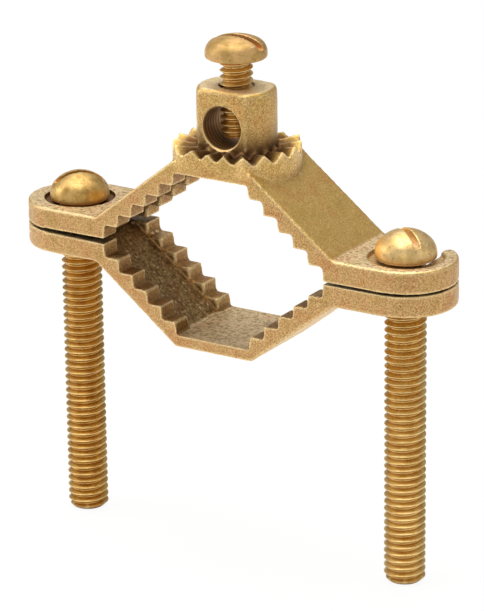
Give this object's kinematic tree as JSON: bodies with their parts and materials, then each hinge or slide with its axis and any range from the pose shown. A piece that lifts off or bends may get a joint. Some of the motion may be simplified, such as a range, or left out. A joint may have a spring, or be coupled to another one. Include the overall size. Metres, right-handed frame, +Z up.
{
  "type": "earth rod clamp",
  "caption": "Cast bronze earth clamp: two toothed jaws drawn together by slotted screws round a rod or pipe, with a crowned lug and screw for the earth wire.",
  "frame": {"origin": "centre of the grip: midway between the clamp screws' axes, on the parting plane between the closed jaws", "axes": "+X from the left clamp screw to the right one, +Y along the rod towards the hook's open side, +Z up towards the terminal lug"},
  "size_m": [0.0912, 0.0194, 0.1004],
  "materials": {
    "cast_bronze": "sand cast and tumbled, sandy grain, duller than the screws",
    "brass_screw": "bright cold-headed brass with cut threads"
  },
  "bodies": {
    "lower_jaw": {"lower_jaw": "cast_bronze"},
    "upper_jaw": {"upper_jaw": "cast_bronze"},
    "left_clamp_screw": {"left_clamp_screw": "brass_screw"},
    "right_clamp_screw": {"right_clamp_screw": "brass_screw"},
    "terminal_screw": {"terminal_screw": "brass_screw"}
  },
  "joints": [
    {"name": "jaw_travel", "type": "slide", "parent": "lower_jaw", "child": "upper_jaw", "axis": [0, 0, 1], "range_m": [0, 0.054]},
    {"name": "left_screw_turn", "type": "hinge", "parent": "upper_jaw", "child": "left_clamp_screw", "pos_m": [-0.0358, 0, 0], "axis": [0, 0, 1], "continuous": true},
    {"name": "right_screw_turn", "type": "hinge", "parent": "upper_jaw", "child": "right_clamp_screw", "pos_m": [0.0358, 0, 0], "axis": [0, 0, 1], "continuous": true},
    {"name": "terminal_screw_travel", "type": "slide", "parent": "upper_jaw", "child": "terminal_screw", "axis": [0, 0, 1], "range_m": [-0.0004, 0.007]}
  ],
  "couplings": [
    {"joint": "left_screw_turn", "follows": "jaw_travel", "rad_per_m": 4452.7},
    {"joint": "right_screw_turn", "follows": "jaw_travel", "rad_per_m": 4452.7}
  ]
}
